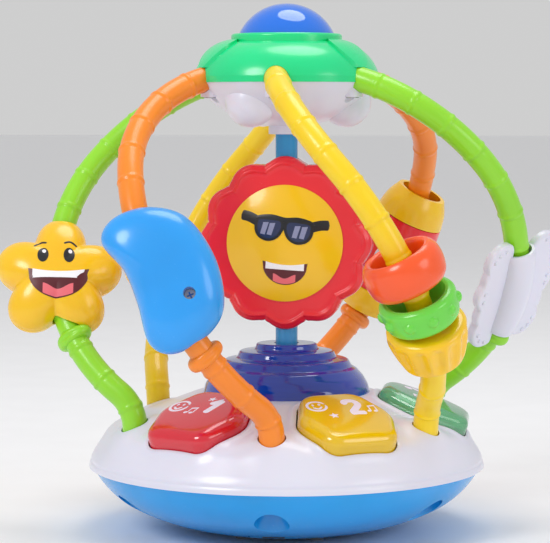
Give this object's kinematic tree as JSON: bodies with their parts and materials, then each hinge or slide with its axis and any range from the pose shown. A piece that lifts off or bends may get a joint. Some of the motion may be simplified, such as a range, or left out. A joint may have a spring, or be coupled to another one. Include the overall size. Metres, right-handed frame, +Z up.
{
  "type": "baby activity ball",
  "caption": "Free-standing baby activity ball: bowl base with push buttons and a see-through dome, twisted arches with sliding figures, a spinning sun and a ball-topped hub.",
  "frame": {"origin": "on the resting surface, under the middle of the object's bounding box", "axes": "+Z up along the central post, the sun's face towards -Y, +X to the right seen from the front"},
  "size_m": [0.2373, 0.2074, 0.2205],
  "materials": {
    "sky_blue_abs": "gloss",
    "white_abs": "gloss",
    "grey_rubber": "matt",
    "black_plastic": "satin",
    "zinc_screw": "plated",
    "cell_jacket": "printed",
    "nickel_plate": "plated",
    "circuit_green": "solder mask",
    "clear_led": "clear",
    "navy_clear": "see-through gloss",
    "cyan_plastic": "gloss",
    "mint_abs": "gloss",
    "blue_clear": "gloss",
    "yellow_pp": "gloss",
    "lime_pp": "gloss",
    "orange_pp": "gloss",
    "red_abs": "gloss",
    "yellow_abs": "gloss",
    "peach_abs": "gloss",
    "green_abs": "gloss",
    "orange_abs": "gloss",
    "red_clear": "see-through gloss",
    "yellow_clear": "see-through gloss",
    "green_clear": "see-through gloss"
  },
  "bodies": {
    "base": {"lower_shell": "sky_blue_abs", "deck_shell": "white_abs", "foot_pads": "grey_rubber", "base_screws": "zinc_screw", "battery_door": "sky_blue_abs", "door_screw": "zinc_screw", "batteries": "cell_jacket", "battery_contacts": "nickel_plate", "circuit_board": "circuit_green", "speaker": "black_plastic", "switch_body": "black_plastic", "button_boards": "circuit_green", "button_pads": "grey_rubber", "light_dome": "navy_clear", "light_board": "circuit_green", "light_leds": "clear_led", "post": "cyan_plastic", "post_screws": "zinc_screw", "hub_lower": "white_abs", "hub_cap": "mint_abs", "hub_screws": "zinc_screw", "ball_cup": "white_abs", "arch_front": "yellow_pp", "arch_front_right": "lime_pp", "arch_back_right": "orange_pp", "arch_back": "yellow_pp", "arch_back_left": "lime_pp", "arch_front_left": "orange_pp"},
    "sun": {"sun_front_disc": "red_abs", "sun_back_disc": "red_abs", "sun_face_front": "yellow_abs", "sun_face_back": "yellow_abs"},
    "ball": {"ball": "blue_clear"},
    "star": {"star_front": "yellow_abs", "star_back": "yellow_abs", "star_screws": "zinc_screw"},
    "moon": {"moon_front": "sky_blue_abs", "moon_back": "sky_blue_abs", "moon_screws": "zinc_screw"},
    "butterfly": {"butterfly": "white_abs"},
    "rocket": {"rocket_skirt": "yellow_abs", "rocket_body": "red_abs", "rocket_nose": "yellow_abs", "porthole_rim": "white_abs", "porthole_pane": "navy_clear"},
    "planet": {"planet_upper": "peach_abs", "planet_lower": "peach_abs", "planet_ring": "yellow_abs"},
    "ring_yellow": {"ring_yellow": "yellow_abs"},
    "ring_green": {"ring_green": "green_abs"},
    "ring_orange": {"ring_orange": "orange_abs"},
    "switch": {"switch_knob": "black_plastic"},
    "button_red": {"button_red": "red_clear"},
    "button_yellow": {"button_yellow": "yellow_clear"},
    "button_green": {"button_green": "green_clear"}
  },
  "joints": [
    {"name": "sun_spin", "type": "hinge", "parent": "base", "child": "sun", "pos_m": [0, 0, 0.1206], "axis": [0, 0, 1], "continuous": true},
    {"name": "ball_roll", "type": "hinge", "parent": "base", "child": "ball", "pos_m": [0, 0, 0.1985], "axis": [1, 0, 0], "continuous": true},
    {"name": "star_slide", "type": "hinge", "parent": "base", "child": "star", "pos_m": [-0.01704, -0.00076, 0.11341], "axis": [-0.0758, 0.8766, -0.4752], "range_deg": [0, 20]},
    {"name": "moon_slide", "type": "hinge", "parent": "base", "child": "moon", "pos_m": [-0.00786, -0.01514, 0.11341], "axis": [-0.797, 0.3727, -0.4752], "range_deg": [0, 16]},
    {"name": "butterfly_slide", "type": "hinge", "parent": "base", "child": "butterfly", "pos_m": [0.01704, 0.00076, 0.11341], "axis": [0.0758, -0.8766, -0.4752], "range_deg": [0, 28]},
    {"name": "rocket_slide", "type": "hinge", "parent": "base", "child": "rocket", "pos_m": [0.00786, 0.01514, 0.11341], "axis": [0.797, -0.3727, -0.4752], "range_deg": [0, 14]},
    {"name": "planet_slide", "type": "hinge", "parent": "base", "child": "planet", "pos_m": [-0.00918, 0.01438, 0.11341], "axis": [0.7213, 0.5039, -0.4752], "range_deg": [0, 38]},
    {"name": "ring_yellow_slide", "type": "hinge", "parent": "base", "child": "ring_yellow", "pos_m": [0.00918, -0.01438, 0.11341], "axis": [-0.7213, -0.5039, -0.4752], "range_deg": [0, 8]},
    {"name": "ring_green_slide", "type": "hinge", "parent": "ring_yellow", "child": "ring_green", "pos_m": [0.00918, -0.01438, 0.11341], "axis": [-0.7213, -0.5039, -0.4752], "range_deg": [0, 8]},
    {"name": "ring_orange_slide", "type": "hinge", "parent": "ring_green", "child": "ring_orange", "pos_m": [0.00918, -0.01438, 0.11341], "axis": [-0.7213, -0.5039, -0.4752], "range_deg": [0, 7]},
    {"name": "switch_slide", "type": "slide", "parent": "base", "child": "switch", "axis": [1, 0, 0], "range_m": [-0.0035, 0.0035]},
    {"name": "button_red_press", "type": "slide", "parent": "base", "child": "button_red", "axis": [0.1792, 0.3105, -0.9335], "range_m": [0, 0.003], "stiffness_N_per_m": 400, "springref_m": -0.001},
    {"name": "button_yellow_press", "type": "slide", "parent": "base", "child": "button_yellow", "axis": [-0.1792, 0.3105, -0.9335], "range_m": [0, 0.003], "stiffness_N_per_m": 400, "springref_m": -0.001},
    {"name": "button_green_press", "type": "slide", "parent": "base", "child": "button_green", "axis": [-0.3585, 0, -0.9335], "range_m": [0, 0.003], "stiffness_N_per_m": 400, "springref_m": -0.001}
  ]
}
